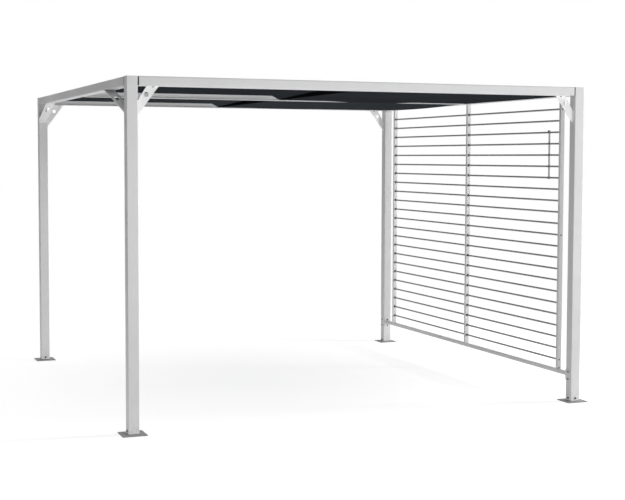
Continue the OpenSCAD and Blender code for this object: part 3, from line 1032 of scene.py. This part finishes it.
class GAZEBO_OT_stage(bpy.types.Operator):
    """Sets the floor, the soft studio light and the camera"""
    bl_idname = "gazebo.stage"
    bl_label = "Stage"

    def execute(self, context):
        stage = context.scene.gazebo_stage
        context.scene.view_settings.view_transform = "Standard"
        self.floor(stage)
        self.sky(context, stage)
        self.lamps(stage)
        self.camera(context, stage)
        return {"FINISHED"}

    def floor(self, stage):
        """Pale matt floor that keeps the shadows near the part and fades to white further out."""
        reach = 60.0
        fade_from = 2.3
        fade_to = 5.0
        mesh = bpy.data.meshes.new("floor")
        corners = [(-reach, -reach, 0), (reach, -reach, 0), (reach, reach, 0), (-reach, reach, 0)]
        mesh.from_pydata(corners, [], [(0, 1, 2, 3)])
        floor = bpy.data.objects.new("floor", mesh)
        bpy.context.scene.collection.objects.link(floor)
        material = bpy.data.materials.new("Pale floor")
        material.use_nodes = True
        tree = material.node_tree
        tree.nodes.clear()
        out = tree.nodes.new("ShaderNodeOutputMaterial")
        matt = tree.nodes.new("ShaderNodeBsdfDiffuse")
        glow = tree.nodes.new("ShaderNodeEmission")
        glow.inputs["Color"].default_value = (1, 1, 1, 1)
        rays = tree.nodes.new("ShaderNodeLightPath")
        seen = link_math(tree, "MAXIMUM", rays.outputs["Is Camera Ray"], rays.outputs["Is Glossy Ray"])
        spot = tree.nodes.new("ShaderNodeNewGeometry")
        away = tree.nodes.new("ShaderNodeVectorMath")
        away.operation = "LENGTH"
        tree.links.new(spot.outputs["Position"], away.inputs[0])
        far = link_range(tree, away.outputs["Value"], fade_from, fade_to)
        level = link_range(tree, far, 0.0, 1.0, stage.floor, 1.0, smooth=False)
        tree.links.new(link_times(tree, seen, level), glow.inputs["Strength"])
        plain = link_times(tree, seen, far)
        paint = link_mix(tree, plain, (0.78, 0.78, 0.78), (0.02, 0.02, 0.02))
        tree.links.new(paint, matt.inputs["Color"])
        both = tree.nodes.new("ShaderNodeAddShader")
        tree.links.new(matt.outputs[0], both.inputs[0])
        tree.links.new(glow.outputs[0], both.inputs[1])
        tree.links.new(both.outputs[0], out.inputs["Surface"])
        mesh.materials.append(material)

    def sky(self, context, stage):
        """White backdrop to the camera and a dim even light on the part."""
        world = bpy.data.worlds.new("Studio")
        context.scene.world = world
        world.use_nodes = True
        tree = world.node_tree
        back = tree.nodes["Background"]
        back.inputs["Color"].default_value = (1, 1, 1, 1)
        rays = tree.nodes.new("ShaderNodeLightPath")
        seen = link_math(tree, "MAXIMUM", rays.outputs["Is Camera Ray"], rays.outputs["Is Glossy Ray"])
        level = link_range(tree, seen, 0.0, 1.0, stage.sky, 1.0, smooth=False)
        tree.links.new(level, back.inputs["Strength"])

    def lamps(self, stage):
        """Soft boxes by name, place, target, width, height, power and whether they show in gloss."""
        card_z = 6 * MM
        for name, place, target, wide, tall, power, shines in (
                ("front", (0.4, -13.0, 1.3), (0, 0, 1.1), 3.0, 2.4, stage.front, True),
                ("front_right", (4.0, -12.7, 1.6), (0.4, 0, 1.1), 3.0, 2.4, 0.7 * stage.front, True),
                ("near_right", (3.2, -8.0, 1.4), (1.2, 0, 1.1), 3.0, 2.4, 0.25 * stage.front, True),
                ("right", (8.6, -2.6, 3.4), (0, 0, 0.9), 1.6, 1.6, stage.right, True),
                ("left", (-9.0, -2.0, 1.1), (0, 0, 1.1), 4.0, 2.2, 0.06 * stage.front, False),
                ("back", (-2.0, 12.0, 2.2), (0, 0, 1.1), 4.0, 2.4, 0.8 * stage.front, False),
                ("top", (0, 0, 9.0), (0, 0, 0), 12.0, 12.0, stage.top, True),
                ("bounce", (0, 0.4, card_z), (0, 0.4, 5.0), 5.0, 4.5, 0.9 * stage.bounce, False),
                ("bounce_left", (-2.8, -1.2, card_z), (-2.8, -1.2, 5.0), 2.4, 4.0, 0.1 * stage.bounce, False),
                ("bounce_front", (0.5, -4.5, card_z), (0.5, -4.5, 5.0), 7.0, 4.0, 2.1 * stage.bounce, False)):
            light = bpy.data.lights.new(name, "AREA")
            light.shape = "RECTANGLE"
            light.size = wide
            light.size_y = tall
            light.energy = power
            lamp = bpy.data.objects.new(name, light)
            bpy.context.scene.collection.objects.link(lamp)
            lamp.location = place
            lamp.visible_camera = False
            lamp.visible_glossy = shines
            aim = Vector(target) - Vector(place)
            lamp.rotation_mode = "QUATERNION"
            lamp.rotation_quaternion = aim.to_track_quat("-Z", "Y")

    def camera(self, context, stage):
        """Camera at the photo's place, with its lens axis off the middle."""
        lens = bpy.data.cameras.new("camera")
        lens.sensor_fit = "HORIZONTAL"
        lens.sensor_width = 36.0
        lens.lens = lens.sensor_width * stage.focal
        lens.shift_x = 0.5 - stage.centre_x
        lens.shift_y = stage.centre_y - 0.5 * IMAGE_H / IMAGE_W
        lens.clip_end = 200.0
        camera = bpy.data.objects.new("camera", lens)
        context.scene.collection.objects.link(camera)
        level = Vector((math.sin(stage.yaw), math.cos(stage.yaw), 0)) * math.cos(stage.pitch)
        ahead = level - Vector((0, 0, math.sin(stage.pitch)))
        right = Vector((math.cos(stage.yaw), -math.sin(stage.yaw), 0))
        up = right.cross(ahead)
        turn = Matrix((right, up, -ahead)).transposed().to_4x4()
        tip = Matrix.Rotation(stage.roll, 4, "Z")
        camera.matrix_world = Matrix.Translation(Vector(stage.eye)) @ turn @ tip
        context.scene.camera = camera


class GAZEBO_PT_panel(bpy.types.Panel):
    """Lists the steps and settings of the gazebo"""
    bl_idname = "GAZEBO_PT_panel"
    bl_label = "Gazebo"
    bl_space_type = "VIEW_3D"
    bl_region_type = "UI"
    bl_category = "Gazebo"

    def draw(self, context):
        for step in STEPS:
            self.layout.operator(step.bl_idname)
        for name in GROUPS:
            box = self.layout.box()
            group = getattr(context.scene, name)
            for key in group.bl_rna.properties.keys():
                if key not in ("rna_type", "name"):
                    box.prop(group, key)


STEPS = (
    GAZEBO_OT_finishes,
    GAZEBO_OT_canopies,
    GAZEBO_OT_sleeves,
    GAZEBO_OT_screws,
    GAZEBO_OT_bushes,
    GAZEBO_OT_tie_clips,
    GAZEBO_OT_stage,
)
GROUPS = {
    "gazebo_finish": GazeboFinish,
    "gazebo_cloth": GazeboCloth,
    "gazebo_fasteners": GazeboFasteners,
    "gazebo_stage": GazeboStage,
}


def register():
    for group in GROUPS.values():
        bpy.utils.register_class(group)
    for name, group in GROUPS.items():
        setattr(bpy.types.Scene, name, bpy.props.PointerProperty(type=group))
    for step in STEPS:
        bpy.utils.register_class(step)
    bpy.utils.register_class(GAZEBO_PT_panel)


def unregister():
    bpy.utils.unregister_class(GAZEBO_PT_panel)
    for step in reversed(STEPS):
        bpy.utils.unregister_class(step)
    for name, group in reversed(GROUPS.items()):
        delattr(bpy.types.Scene, name)
        bpy.utils.unregister_class(group)


def main():
    register()
    bpy.ops.gazebo.finishes()
    bpy.ops.gazebo.canopies()
    bpy.ops.gazebo.sleeves()
    bpy.ops.gazebo.screws()
    bpy.ops.gazebo.bushes()
    bpy.ops.gazebo.tie_clips()
    bpy.ops.gazebo.stage()


if __name__ == "__main__":
    main()
